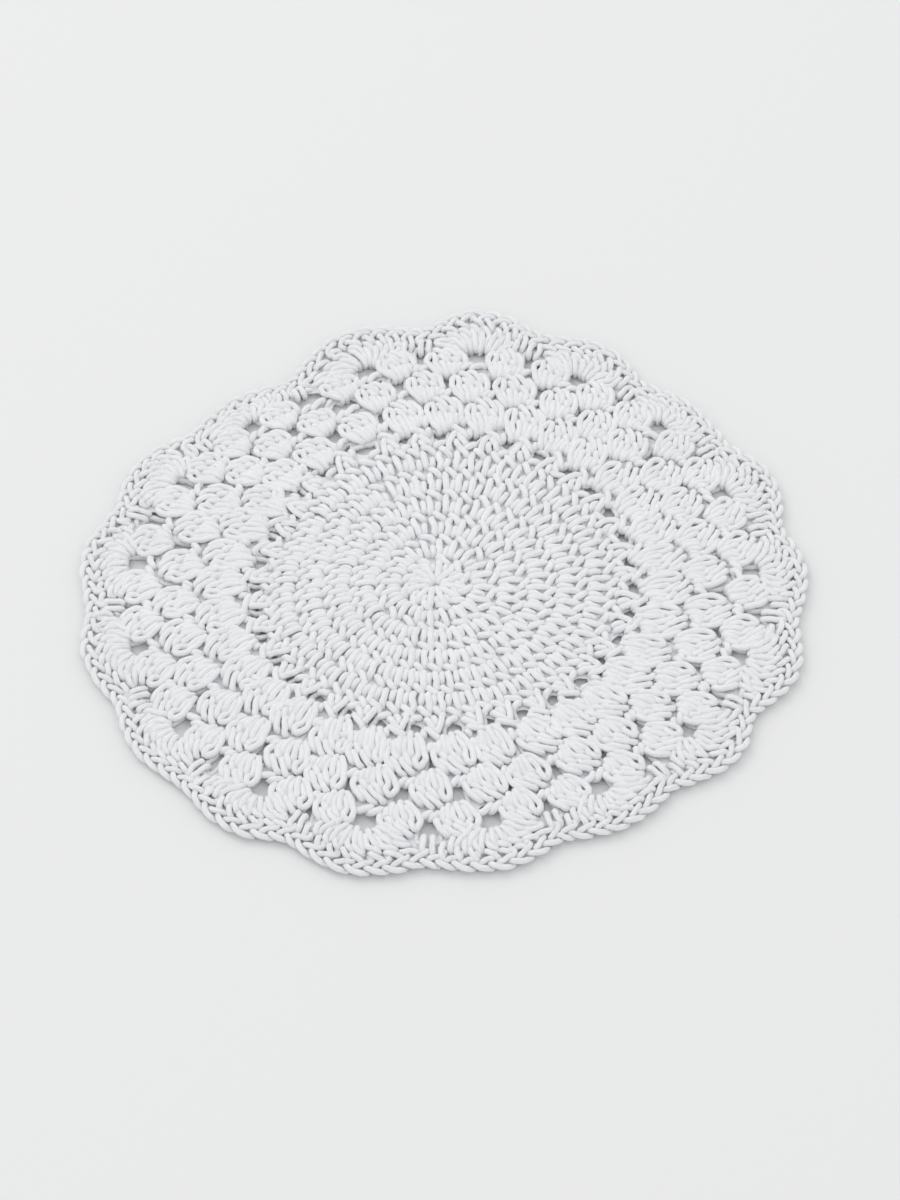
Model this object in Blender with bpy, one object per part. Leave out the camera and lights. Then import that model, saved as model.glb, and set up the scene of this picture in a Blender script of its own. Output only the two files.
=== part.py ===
"""Round crochet placemat, worked in one piece from one soft cotton cord.

Metres, +Z up. The mat lies flat on z = 0, and the origin is under the middle of its outline's box.
From the middle outwards it has a starting ring, a close disc of six rounds, an openwork round, three
rounds of clusters, and a border of seventeen fans with a braided edging. It is one piece, so it is
one solid: its uneven scalloped outline, the ridge of each round, and its largest gaps.
"""

import math

import bpy
import bmesh

NODE = "mat"
COLOUR = (0.86, 0.87, 0.88, 1.0)
ROUGHNESS = 0.9
SHEEN = 0.2

# Each row is one fan of the border and the dip after it, counter-clockwise from +X as seen from
# above. Angles are in degrees round the starting ring, and the rest in metres: how far the fan, the
# dip and the openwork round reach from the ring, and the width and depth of the hole under the fan.
FAN_ANGLE, FAN_REACH, DIP_ANGLE, DIP_REACH, WAIST, HOLE_WIDTH, HOLE_DEPTH = range(7)
FANS = (
    (3.0, 0.1945, 12.5, 0.1870, 0.1030, 0.011, 0.009),
    (22.5, 0.1950, 32.5, 0.1860, 0.1040, 0.011, 0.010),
    (43.0, 0.1885, 52.5, 0.1835, 0.1060, 0.010, 0.009),
    (62.0, 0.1950, 72.0, 0.1890, 0.1065, 0.012, 0.009),
    (82.0, 0.2000, 92.0, 0.1840, 0.1055, 0.013, 0.010),
    (103.0, 0.1895, 118.5, 0.1655, 0.1045, 0.012, 0.009),
    (131.0, 0.1715, 141.5, 0.1690, 0.0980, 0.010, 0.009),
    (152.5, 0.1810, 162.5, 0.1765, 0.0890, 0.010, 0.009),
    (174.5, 0.1850, 185.0, 0.1805, 0.0930, 0.011, 0.009),
    (195.5, 0.1865, 206.0, 0.1805, 0.0955, 0.012, 0.009),
    (216.5, 0.1870, 226.0, 0.1835, 0.0965, 0.012, 0.009),
    (237.0, 0.1895, 246.5, 0.1820, 0.0960, 0.013, 0.010),
    (257.0, 0.1910, 269.0, 0.1825, 0.0955, 0.014, 0.010),
    (280.5, 0.1870, 291.0, 0.1780, 0.0945, 0.013, 0.010),
    (302.0, 0.1845, 312.5, 0.1805, 0.0965, 0.013, 0.010),
    (323.0, 0.1910, 332.5, 0.1840, 0.0985, 0.011, 0.009),
    (342.5, 0.1955, 353.0, 0.1890, 0.1020, 0.011, 0.009),
)

# Each row is one round of the work: its outer radius on an even mat, the height of its ridge, the
# height of the groove outside it, and how many columns draw it.
OUTER, RIDGE, GROOVE, COLUMNS = range(4)
ROUNDS = (
    (0.0175, 0.0066, 0.0058, 34),
    (0.0315, 0.0068, 0.0058, 34),
    (0.0460, 0.0068, 0.0058, 34),
    (0.0605, 0.0068, 0.0058, 34),
    (0.0755, 0.0068, 0.0058, 68),
    (0.0905, 0.0068, 0.0052, 68),
    (0.1040, 0.0056, 0.0052, 68),
    (0.1245, 0.0074, 0.0060, 68),
    (0.1445, 0.0074, 0.0060, 68),
    (0.1650, 0.0072, 0.0058, 136),
    (0.1770, 0.0070, 0.0060, 136),
)
RING_HEIGHT = 0.0052            # top of the starting ring, at the very middle

# The edging is a rounded rim, given as (distance in from the outline, height).
RIM = ((0.0030, 0.0064), (0.0008, 0.0052), (0.0000, 0.0032), (0.0010, 0.0000))

STEPS_PER_SCALLOP_SIDE = 4      # columns from a dip to the fan beside it
ROUND_BOW = 0.5                 # share of a quarter sine, against an S curve, in a scallop's side
SCALLOP_START = 0.1550          # radius on an even mat where the scallops begin to show

# Gaps in the work. Radii are those on an even mat; widths lie along the round, depths across it.
HOLE_RADIUS = 0.1563            # the large hole under each fan
HOLE_CORNERS = 12
DIP_GAP_RADIUS = 0.1608         # the gap under the two posts of each dip
DIP_GAP_WIDTH = 0.0080
DIP_GAP_DEPTH = 0.0100
OPENWORK_WIDTH = 0.0095         # the gaps between the posts of the openwork round
OPENWORK_DEPTH = 0.0048
GAP_CORNERS = 8
CUTTER_DEPTH = 0.0300


def mean_of(column):
    """Mean of one column of the table of fans."""
    return sum(row[column] for row in FANS) / len(FANS)


def eased(angle, angle_column, column):
    """A column of the table at an angle, eased from each row to the next."""
    for index, row in enumerate(FANS):
        after = FANS[(index + 1) % len(FANS)]
        span = (after[angle_column] - row[angle_column]) % 360.0
        step = (angle - row[angle_column]) % 360.0
        if step <= span:
            ease = 0.5 - 0.5 * math.cos(math.pi * step / span)
            return row[column] + ease * (after[column] - row[column])
    return mean_of(column)


def uneven(radius, angle):
    """Where a round of the even mat lies on the real one: pulled in or let out at each angle."""
    waist = eased(angle, FAN_ANGLE, WAIST)
    even_waist = mean_of(WAIST)
    if radius <= even_waist:
        return radius * waist / even_waist
    share = (radius - even_waist) / (mean_of(DIP_REACH) - even_waist)
    return waist + share * (eased(angle, DIP_ANGLE, DIP_REACH) - waist)


def turning_points():
    """Angle and reach of every fan and dip, in order round the mat."""
    points = []
    for row in FANS:
        points.append((row[FAN_ANGLE], row[FAN_REACH]))
        points.append((row[DIP_ANGLE], row[DIP_REACH]))
    return points


def scallop_side(share, rises):
    """Height of a scallop's side, from 0 to 1, at a share of the way along it."""
    from_dip = share if rises else 1.0 - share
    bow = math.sin(0.5 * math.pi * from_dip)
    ease = 0.5 - 0.5 * math.cos(math.pi * from_dip)
    height = ROUND_BOW * bow + (1.0 - ROUND_BOW) * ease
    return height if rises else 1.0 - height


def outline_columns():
    """Angle and outline reach of each column of the mesh."""
    points = turning_points()
    columns = []
    for index, (angle, reach) in enumerate(points):
        next_angle, next_reach = points[(index + 1) % len(points)]
        span = (next_angle - angle) % 360.0
        for step in range(STEPS_PER_SCALLOP_SIDE):
            share = step / STEPS_PER_SCALLOP_SIDE
            bow = scallop_side(share, next_reach > reach)
            columns.append((angle + span * share, reach + bow * (next_reach - reach)))
    return columns


def round_radius(radius, angle, reach):
    """Radius of a round in a column whose outline reach is given, scalloped near the border."""
    scallop = max(0.0, (radius - SCALLOP_START) / (mean_of(DIP_REACH) - SCALLOP_START))
    return uneven(radius, angle) + scallop * (reach - eased(angle, DIP_ANGLE, DIP_REACH))


def polar(radius, angle, height, middle):
    """A point given round the starting ring, moved so that the outline's box is centred."""
    turn = math.radians(angle)
    return (radius * math.cos(turn) - middle[0], radius * math.sin(turn) - middle[1], height)


def outline_middle():
    """Middle of the outline's box, measured from the starting ring."""
    spots = [polar(reach, angle, 0.0, (0.0, 0.0)) for angle, reach in outline_columns()]
    return tuple(0.5 * (min(s[axis] for s in spots) + max(s[axis] for s in spots)) for axis in (0, 1))


def add_ring(mesh, columns, count, place):
    """One closed ring of vertices: place gives (radius, height) for a column's angle and reach."""
    stride = len(columns) // count
    middle = outline_middle()
    ring = []
    for angle, reach in columns[::stride]:
        radius, height = place(angle, reach)
        ring.append(mesh.verts.new(polar(radius, angle, height, middle)))
    return ring


def join_rings(mesh, inner, outer):
    """Faces between two rings; the outer ring has as many vertices as the inner, or twice as many."""
    count = len(inner)
    ratio = len(outer) // count
    for index in range(count):
        here = inner[index]
        ahead = inner[(index + 1) % count]
        start = outer[index * ratio]
        end = outer[(index * ratio + ratio) % len(outer)]
        if ratio == 1:
            mesh.faces.new((here, start, end, ahead))
        else:
            half = outer[index * ratio + 1]
            mesh.faces.new((here, start, half))
            mesh.faces.new((here, half, ahead))
            mesh.faces.new((ahead, half, end))


def mat_mesh():
    """The whole mat before its gaps are cut: ridged top, rounded rim and flat underside."""
    columns = outline_columns()
    mesh = bmesh.new()
    rings = []
    inside = 0.0
    for row in ROUNDS:
        ridge = 0.5 * (inside + row[OUTER])
        for radius, height in ((ridge, row[RIDGE]), (row[OUTER], row[GROOVE])):
            rings.append(add_ring(mesh, columns, row[COLUMNS],
                                  lambda angle, reach: (round_radius(radius, angle, reach), height)))
        inside = row[OUTER]
    for distance, height in RIM:
        rings.append(add_ring(mesh, columns, len(columns), lambda angle, reach: (reach - distance, height)))
    for inner, outer in zip(rings, rings[1:]):
        join_rings(mesh, inner, outer)
    centre = mesh.verts.new(polar(0.0, 0.0, RING_HEIGHT, outline_middle()))
    for index, vertex in enumerate(rings[0]):
        mesh.faces.new((centre, vertex, rings[0][(index + 1) % len(rings[0])]))
    mesh.faces.new(tuple(reversed(rings[-1])))
    return mesh


def gaps():
    """Even radius, angle, width, depth and corners of every gap that is cut."""
    points = turning_points()
    found = []
    for row in FANS:
        found.append((HOLE_RADIUS, row[FAN_ANGLE], row[HOLE_WIDTH], row[HOLE_DEPTH], HOLE_CORNERS))
        found.append((DIP_GAP_RADIUS, row[DIP_ANGLE], DIP_GAP_WIDTH, DIP_GAP_DEPTH, GAP_CORNERS))
    for index, (angle, _) in enumerate(points):
        span = (points[(index + 1) % len(points)][0] - angle) % 360.0
        found.append((mean_of(WAIST), angle + 0.5 * span, OPENWORK_WIDTH, OPENWORK_DEPTH, GAP_CORNERS))
    return found


def cutter_mesh():
    """An upright oval prism for each gap, long enough to pass through both faces."""
    middle = outline_middle()
    mesh = bmesh.new()
    for radius, angle, width, depth, corners in gaps():
        out = math.radians(angle)
        centre = polar(uneven(radius, angle), angle, 0.0, middle)
        lower = []
        for corner in range(corners):
            turn = 2.0 * math.pi * (corner + 0.5) / corners
            along = 0.5 * width * math.cos(turn)
            across = 0.5 * depth * math.sin(turn)
            x = centre[0] - along * math.sin(out) + across * math.cos(out)
            y = centre[1] + along * math.cos(out) + across * math.sin(out)
            lower.append(mesh.verts.new((x, y, -0.5 * CUTTER_DEPTH)))
        face = mesh.faces.new(lower)
        grown = bmesh.ops.extrude_face_region(mesh, geom=[face])["geom"]
        moved = [item for item in grown if isinstance(item, bmesh.types.BMVert)]
        bmesh.ops.translate(mesh, verts=moved, vec=(0.0, 0.0, CUTTER_DEPTH))
    bmesh.ops.recalc_face_normals(mesh, faces=mesh.faces)
    return mesh


def add_object(name, mesh):
    """An object made from a bmesh, which is freed."""
    data = bpy.data.meshes.new(name)
    mesh.to_mesh(data)
    mesh.free()
    thing = bpy.data.objects.new(name, data)
    bpy.context.scene.collection.objects.link(thing)
    return thing


def cotton():
    """Matt, cool white cotton cord."""
    material = bpy.data.materials.new("cotton_cord")
    material.use_nodes = True
    shader = material.node_tree.nodes["Principled BSDF"]
    shader.inputs["Base Color"].default_value = COLOUR
    shader.inputs["Roughness"].default_value = ROUGHNESS
    shader.inputs["Metallic"].default_value = 0.0
    shader.inputs["Sheen Weight"].default_value = SHEEN
    return material


def build():
    """The mat, with its gaps cut by a Boolean modifier."""
    mat = add_object(NODE, mat_mesh())
    mat.data.materials.append(cotton())
    cutter = add_object("gap_cutter", cutter_mesh())
    cutter.hide_render = True
    cutter.display_type = "WIRE"
    cut = mat.modifiers.new("gaps", "BOOLEAN")
    cut.operation = "DIFFERENCE"
    cut.solver = "EXACT"
    cut.object = cutter


for item in list(bpy.data.objects):
    bpy.data.objects.remove(item, do_unlink=True)
build()
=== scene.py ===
"""Round crochet placemat of soft cotton cord, laid flat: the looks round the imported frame.

Every round of the work is one closed length of cord. A table gives the cord's way through one
stitch, in millimetres: across the stitch in the direction of work, out from its foot, and the
height of the cord's middle. The stitches are set round the uneven outline that the frame has,
eased apart where strands press on each other, and swept into a round cord.
"""

import math
from collections import namedtuple

import bpy
import numpy as np
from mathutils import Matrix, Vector


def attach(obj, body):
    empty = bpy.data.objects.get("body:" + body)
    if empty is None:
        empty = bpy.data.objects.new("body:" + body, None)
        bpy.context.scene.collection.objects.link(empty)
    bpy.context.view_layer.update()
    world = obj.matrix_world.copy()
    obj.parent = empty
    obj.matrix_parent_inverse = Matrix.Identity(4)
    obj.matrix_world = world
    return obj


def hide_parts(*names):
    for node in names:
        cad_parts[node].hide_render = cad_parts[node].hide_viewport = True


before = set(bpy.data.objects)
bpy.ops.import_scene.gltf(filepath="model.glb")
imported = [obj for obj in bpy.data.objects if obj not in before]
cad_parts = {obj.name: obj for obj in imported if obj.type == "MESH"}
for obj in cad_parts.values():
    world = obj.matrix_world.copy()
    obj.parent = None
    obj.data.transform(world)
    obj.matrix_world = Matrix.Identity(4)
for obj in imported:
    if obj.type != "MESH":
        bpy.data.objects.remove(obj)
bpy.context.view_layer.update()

MM = 0.001
SEED = 20

# ---------------------------------------------------------------- the outline, as in the frame
# Each row is one fan of the border and the dip after it, counter-clockwise from +X as seen from
# above. Angles are in degrees round the starting ring, and the rest in metres: how far the fan, the
# dip and the openwork round reach from the ring, and the width and depth of the hole under the fan.
FAN_ANGLE, FAN_REACH, DIP_ANGLE, DIP_REACH, WAIST, HOLE_WIDTH, HOLE_DEPTH = range(7)
FANS = (
    (3.0, 0.1945, 12.5, 0.1870, 0.1030, 0.011, 0.009),
    (22.5, 0.1950, 32.5, 0.1860, 0.1040, 0.011, 0.010),
    (43.0, 0.1885, 52.5, 0.1835, 0.1060, 0.010, 0.009),
    (62.0, 0.1950, 72.0, 0.1890, 0.1065, 0.012, 0.009),
    (82.0, 0.2000, 92.0, 0.1840, 0.1055, 0.013, 0.010),
    (103.0, 0.1895, 118.5, 0.1655, 0.1045, 0.012, 0.009),
    (131.0, 0.1715, 141.5, 0.1690, 0.0980, 0.010, 0.009),
    (152.5, 0.1810, 162.5, 0.1765, 0.0890, 0.010, 0.009),
    (174.5, 0.1850, 185.0, 0.1805, 0.0930, 0.011, 0.009),
    (195.5, 0.1865, 206.0, 0.1805, 0.0955, 0.012, 0.009),
    (216.5, 0.1870, 226.0, 0.1835, 0.0965, 0.012, 0.009),
    (237.0, 0.1895, 246.5, 0.1820, 0.0960, 0.013, 0.010),
    (257.0, 0.1910, 269.0, 0.1825, 0.0955, 0.014, 0.010),
    (280.5, 0.1870, 291.0, 0.1780, 0.0945, 0.013, 0.010),
    (302.0, 0.1845, 312.5, 0.1805, 0.0965, 0.013, 0.010),
    (323.0, 0.1910, 332.5, 0.1840, 0.0985, 0.011, 0.009),
    (342.5, 0.1955, 353.0, 0.1890, 0.1020, 0.011, 0.009),
)
ROUND_BOW = 0.5                 # share of a quarter sine, against an S curve, in a scallop's side
STEPS_PER_SCALLOP_SIDE = 4      # columns from a dip to the fan beside it
SAMPLES_PER_DEGREE = 4

# ---------------------------------------------------------------- the cord
CORD = 3.5                      # diameter, mm
SIDES = 8                       # corners of each ring of the cord
# How thick the cord is at a height of its middle (mm): squeezed where it dives between other
# strands, full where it lies loose, and drawn thinner in the taut strands on top.
SQUEEZE_HEIGHT = (1.8, 2.6, 4.0, 4.8, 5.6)
SQUEEZE = (0.92, 0.70, 1.08, 1.08, 0.95)
DISC_SQUEEZE = (0.92, 0.70, 1.08, 1.08, 1.06)    # the disc's long strands are looser
BORDER_CORD = {"fans": 0.94, "edging": 0.84}     # how thick the cord is there, against the rest
STEP = 1.35                     # spacing of the cord's rings, mm
TOP_LIMIT = 5.75                # highest that the middle of the cord lies, mm
LOW_LIMIT = 1.62                # lowest that it lies, mm

# The routes. Each row is (across, out, height), in millimetres, and a depth is how far out a route
# goes from its foot to the foot of the next round.
HALF_DOUBLE_WIDTH = 7.4
HALF_DOUBLE_DEPTH = 14.5
HALF_DOUBLE = (
    (0.6, 4.6, 1.7),            # down the back
    (2.4, 2.2, 1.7),
    (3.4, 0.8, 2.0),
    (3.5, 1.0, 3.4),            # round the top of the last round
    (3.4, 2.2, 4.9),
    (3.1, 4.2, 5.6),            # the long front strand
    (2.8, 6.4, 5.75),
    (2.5, 8.6, 5.1),
    (2.3, 10.4, 4.2),
    (2.2, 12.0, 3.2),
    (2.4, 13.4, 2.3),           # under the top loop
    (3.2, 12.6, 1.9),
    (5.4, 10.2, 1.9),
    (6.8, 8.2, 2.8),
    (6.9, 6.8, 4.2),            # the short front strand
    (6.8, 5.0, 4.8),
    (6.6, 3.4, 4.8),
    (6.4, 2.1, 4.3),
    (6.1, 1.2, 3.0),
    (5.6, 1.6, 2.2),
    (5.0, 4.2, 2.7),            # up the back, between the two
    (4.7, 7.2, 2.8),
    (3.6, 11.0, 2.2),
    (2.2, 14.6, 2.0),
    (2.0, 15.8, 2.6),
    (2.7, 15.3, 3.7),
    (3.9, 14.1, 4.6),           # the top loop, leaning forwards
    (5.3, 12.8, 4.9),
    (6.7, 11.4, 4.6),
    (7.7, 10.3, 3.5),
    (7.8, 8.8, 2.1),
)
START_STITCH = (                # one stitch of the star in the middle
    (0.8, 6.6, 1.7),
    (2.4, 3.6, 1.7),
    (3.4, 0.8, 2.0),
    (3.6, 0.4, 3.6),
    (3.5, 2.4, 5.0),
    (3.2, 5.2, 5.6),            # the long front strand
    (2.8, 8.4, 5.7),
    (2.4, 10.8, 5.4),
    (2.0, 12.6, 4.2),
    (2.6, 13.2, 2.4),
    (5.0, 11.8, 2.6),
    (6.6, 10.4, 4.2),           # the short front strand
    (6.8, 8.2, 4.7),
    (6.6, 6.4, 3.6),
    (6.0, 6.6, 2.0),
    (3.0, 11.8, 1.8),
    (1.0, 15.2, 2.6),
    (1.5, 15.1, 3.8),
    (2.7, 13.9, 4.8),           # the top loop
    (4.3, 12.4, 5.0),
    (5.8, 10.9, 4.4),
    (6.6, 9.6, 3.0),
)

CLUSTER_DEPTH = 24.5
CLUSTER = (
    (-8.6, 5.6, 1.8),           # first double crochet: down the back
    (-5.0, 1.4, 1.7),
    (-2.8, -0.7, 2.0),
    (-2.4, -0.7, 3.4),          # round the chain of the last round
    (-3.2, 0.6, 4.8),
    (-5.0, 2.6, 5.3),           # its long front strand, bowed outwards
    (-7.4, 6.2, 5.4),
    (-9.1, 10.2, 5.4),
    (-9.6, 13.8, 5.3),
    (-9.0, 16.8, 5.0),
    (-7.8, 18.8, 4.5),          # over the top and down again, on a slant
    (-6.4, 18.7, 4.9),
    (-5.4, 17.2, 5.4),
    (-4.9, 15.2, 5.2),
    (-4.9, 13.4, 4.2),
    (-5.6, 10.9, 3.9),
    (-5.4, 8.6, 4.7),           # the strand beside it
    (-4.0, 5.0, 5.0),
    (-2.3, 1.8, 4.4),
    (-1.5, 0.6, 2.8),
    (-2.2, 4.0, 1.7),
    (-4.4, 14.0, 1.7),          # up the back
    (-5.1, 21.4, 2.0),
    (-5.7, 22.9, 3.3),
    (-4.7, 23.1, 4.8),          # first top loop
    (-2.9, 21.8, 5.6),
    (-0.8, 19.8, 5.75),
    (1.2, 17.7, 5.5),
    (2.3, 16.0, 4.7),
    (2.6, 14.6, 3.2),
    (2.2, 12.9, 1.9),
    (1.5, 5.4, 1.7),            # second double crochet: down the back
    (0.9, 0.2, 2.0),
    (1.0, -0.6, 3.4),
    (0.9, 0.8, 4.9),
    (0.3, 3.4, 5.4),            # its long front strand
    (-0.8, 7.4, 5.5),
    (-1.8, 10.4, 5.1),
    (-2.4, 12.2, 4.0),
    (-2.6, 14.8, 2.9),
    (-3.9, 17.4, 3.2),
    (-3.3, 18.5, 4.3),
    (-2.1, 17.3, 5.1),          # its slanting middle strand
    (-0.7, 15.4, 5.2),
    (0.3, 13.6, 4.3),
    (1.4, 11.8, 3.4),
    (2.4, 9.6, 4.4),            # the strand beside its front strand
    (3.0, 6.8, 5.0),
    (3.5, 3.6, 4.9),
    (3.8, 1.2, 4.0),
    (3.6, 0.8, 2.4),
    (2.4, 5.0, 1.7),
    (0.6, 15.0, 1.7),           # up the back
    (-0.6, 21.6, 2.0),
    (-1.1, 23.8, 3.3),
    (0.1, 24.0, 4.8),           # second top loop
    (2.1, 22.6, 5.6),
    (4.3, 20.3, 5.75),
    (6.1, 18.0, 5.5),
    (7.1, 16.1, 4.7),
    (7.4, 14.5, 3.2),
    (6.9, 12.5, 1.9),
    (5.8, 5.4, 1.7),            # third double crochet: down the back
    (5.2, 1.6, 2.0),
    (5.4, 0.9, 3.2),
    (5.5, 2.4, 4.7),
    (5.6, 5.4, 5.2),            # its front strand
    (5.2, 8.6, 5.1),
    (4.6, 10.6, 4.0),
    (3.6, 12.6, 2.9),
    (2.9, 14.8, 3.0),
    (3.3, 16.2, 4.2),
    (4.4, 15.0, 5.0),           # its slanting middle strand
    (5.6, 13.2, 5.0),
    (6.4, 11.7, 4.1),
    (7.3, 10.8, 3.7),
    (7.7, 9.6, 4.6),            # the strand beside its front strand
    (7.9, 7.2, 5.0),
    (7.5, 4.6, 4.6),
    (7.0, 3.2, 3.2),
    (6.6, 5.0, 1.8),
    (5.6, 13.0, 1.7),           # up the back
    (4.2, 19.8, 1.9),
    (4.2, 22.2, 3.2),
    (5.2, 22.4, 4.7),           # third top loop, which bends down the side
    (7.0, 20.6, 5.4),
    (8.9, 17.8, 5.4),
    (10.2, 14.6, 5.2),
    (10.6, 11.6, 4.8),
    (10.3, 9.0, 4.2),
    (9.8, 7.4, 2.8),
)
CLUSTER_LEFT = -9.6             # where the link to the next cluster ends and begins, mm across
CLUSTER_RIGHT = 9.8
# The link of chain between clusters. Here across is the share of the way to the next cluster.
CLUSTER_LINK = (
    (0.00, 14.6, 1.8),
    (0.05, 25.0, 2.2),
    (0.50, 28.4, 3.0),          # the chain that the next round is worked round
    (0.95, 26.0, 2.2),
    (1.10, 14.0, 1.7),
    (1.30, 9.4, 2.0),
    (1.25, 8.8, 3.2),
    (0.95, 9.2, 4.6),           # the two loops that show between the feet of two clusters
    (0.66, 7.9, 5.0),
    (0.44, 5.7, 4.4),
    (0.36, 4.4, 2.8),
    (0.56, 5.6, 1.8),
    (0.60, 8.4, 2.4),
    (0.38, 9.2, 4.0),
    (0.12, 8.0, 4.8),
    (-0.14, 6.0, 4.4),
    (-0.28, 4.6, 2.8),
    (-0.10, 4.0, 1.8),
)

OPENWORK_DEPTH = 14.0
OPENWORK = (
    (-6.4, 8.4, 1.9),
    (-6.6, 5.2, 2.6),
    (-7.6, 4.0, 4.1),           # the chain beside the post
    (-9.3, 2.8, 4.8),
    (-11.1, 1.6, 4.5),
    (-12.2, 0.8, 3.1),
    (-11.4, 0.4, 1.8),
    (-7.6, 0.0, 1.7),
    (-4.8, -1.0, 2.0),          # round the edge of the disc
    (-4.4, -0.8, 3.4),
    (-4.4, 0.6, 4.9),
    (-4.6, 3.4, 5.4),           # the left leg
    (-4.2, 6.4, 5.5),
    (-3.2, 9.2, 5.3),
    (-2.2, 11.0, 4.4),
    (-1.0, 11.4, 3.8),
    (-0.2, 10.0, 4.6),
    (1.0, 7.8, 5.1),            # the right leg
    (2.4, 5.6, 5.1),
    (3.6, 3.8, 4.6),
    (4.2, 2.6, 3.2),
    (3.4, 1.8, 2.0),
    (1.4, 0.8, 2.6),
    (0.4, 1.8, 4.2),            # the short strand between the legs
    (-0.7, 3.8, 4.7),
    (-1.1, 5.8, 4.4),
    (-1.3, 7.6, 2.8),
    (-2.2, 9.6, 1.8),           # up the back
    (-4.4, 13.2, 2.0),
    (-4.8, 15.0, 3.6),
    (-3.6, 14.6, 5.0),          # the top loop
    (-1.6, 13.2, 5.6),
    (0.6, 11.6, 5.7),
    (2.6, 10.0, 5.2),
    (3.6, 8.8, 3.8),
    (4.2, 9.6, 2.8),
    (5.0, 11.4, 4.2),
    (5.0, 13.4, 4.6),
    (4.8, 14.6, 3.2),
)
OPENWORK_LINK = (
    (0.05, 13.4, 2.4),
    (0.30, 13.4, 3.0),          # the chain that the clusters are worked round
    (0.75, 13.4, 3.0),
    (0.98, 12.4, 2.2),
)
OPENWORK_LEFT = -6.2            # where its link ends and begins, mm across
OPENWORK_RIGHT = 5.2

# A group of stitches and the link to the next: their tables, the depth that they are given for,
# and where the link ends and begins.
Group = namedtuple("Group", "table depth link left right")
CLUSTERS = Group(CLUSTER, CLUSTER_DEPTH, CLUSTER_LINK, CLUSTER_LEFT, CLUSTER_RIGHT)
POSTS = Group(OPENWORK, OPENWORK_DEPTH, OPENWORK_LINK, OPENWORK_LEFT, OPENWORK_RIGHT)

FAN_STITCH_DEPTH = 19.6
FAN_STITCH = (
    (0.6, 5.4, 1.7),            # down the back
    (0.2, 0.4, 1.9),
    (0.0, -0.4, 3.4),           # round the chain of the last round
    (-0.1, 1.0, 4.9),
    (-0.4, 4.0, 5.4),           # the long front strand
    (-1.0, 7.4, 5.3),
    (-1.9, 10.4, 4.7),
    (-2.5, 12.4, 3.6),
    (-2.9, 14.2, 3.0),
    (-2.6, 15.2, 4.2),
    (-1.6, 14.4, 5.2),          # the slanting middle strand
    (0.2, 12.6, 5.5),
    (1.7, 10.8, 4.9),
    (2.2, 9.0, 3.9),
    (2.0, 7.2, 4.0),            # the strand beside the long one
    (1.8, 4.4, 4.4),
    (1.7, 2.2, 3.8),
    (1.6, 1.2, 2.4),
    (1.4, 5.0, 1.7),
    (-0.4, 13.4, 1.7),          # up the back
    (-2.6, 18.6, 2.1),
    (-3.1, 20.2, 3.6),
    (-2.2, 20.0, 5.0),          # the top loop
    (-0.4, 18.4, 5.6),
    (1.4, 16.8, 5.3),
    (2.6, 15.4, 4.2),
    (2.6, 13.4, 2.6),
)
FAN_STITCHES = 8
FAN_FOOT_SPREAD = 2.8           # spacing of the stitches where they meet in the hole, mm
FAN_FOOT_ARCH = 4.2             # how much lower the outermost feet are than the middle ones, mm
FAN_HEAD_SHARE = 0.83           # how far towards the dips the outermost heads reach
FAN_HEAD_INSET = 7.6            # distance of the heads from the outline, mm

DIP_DEPTH = 12.0
DIP_STITCH = (
    (-3.6, 7.0, 1.8),
    (-2.6, 0.6, 2.0),
    (-2.2, 0.0, 3.4),           # round the chain of the last round
    (-2.2, 1.4, 4.9),
    (-2.3, 4.8, 5.4),           # the left leg
    (-2.3, 9.0, 5.0),
    (-1.6, 12.6, 3.4),
    (1.6, 12.6, 3.4),
    (2.4, 9.0, 5.0),            # the right leg
    (2.2, 4.8, 5.4),
    (2.1, 1.4, 4.9),
    (2.2, 0.0, 3.4),
    (2.6, 0.6, 2.0),
    (3.4, 7.0, 1.8),
)
BAR_OUT = 6.2                   # the bars between a fan and a dip, mm out from the dip's foot
BAR_ENDS = (0.42, 0.75)         # where they begin and end, as shares of the way to the fan's middle
BAR_HEIGHTS = (4.4, 2.6)        # and how high, mm

EDGING_PITCH = 8.9              # length of one loop of the braid along the outline, mm
EDGING_DEPTH = 8.0              # how far inside the outline the braid's foot lies, mm
EDGING_WANDER = 0.5             # its loops are this much more even than the other stitches
EDGING = (
    (0.2, 0.6, 4.3),            # the inner arm of the braid, rising out of its post
    (2.2, 2.0, 5.1),
    (4.6, 3.0, 5.3),
    (6.8, 3.5, 4.8),
    (8.4, 4.0, 3.6),
    (9.2, 4.3, 2.2),
    (6.4, 3.0, 1.7),            # back underneath
    (2.8, 3.8, 1.7),
    (1.2, 4.9, 2.1),
    (2.2, 6.2, 3.0),            # the outer arm, over the start of the next one
    (4.6, 6.9, 3.9),
    (7.6, 6.6, 4.5),
    (10.2, 5.4, 4.7),
    (11.8, 4.2, 4.2),
    (12.4, 2.6, 3.0),
    (11.8, 0.4, 2.0),           # down behind, into the heads of the last round
    (11.2, -2.2, 2.0),
    (10.9, -3.4, 2.8),
    (9.9, -2.9, 4.3),           # the short slanting strand that shows below the braid
    (8.6, -1.4, 4.7),
    (8.3, -0.4, 4.4),
)

# The rounds, from the middle outwards.
START_FOOT = 2.2                # radius of the feet of the starting star, mm
START_STITCHES = 12
DISC_ROUNDS = (                 # foot radius, depth (mm) and stitches of each round of the disc
    (17.5, 14.0, 20),
    (31.5, 14.5, 33),
    (46.0, 14.5, 46),
    (60.5, 15.0, 60),
    (75.5, 15.0, 68),
)
ROUND_TURN = 37.0               # how far round each disc round starts from the last, degrees
DISC_SPLIT = 4                  # rounds in the inner piece of the disc
OPENWORK_FOOT = 90.5            # radius of the feet of its posts, mm
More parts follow.
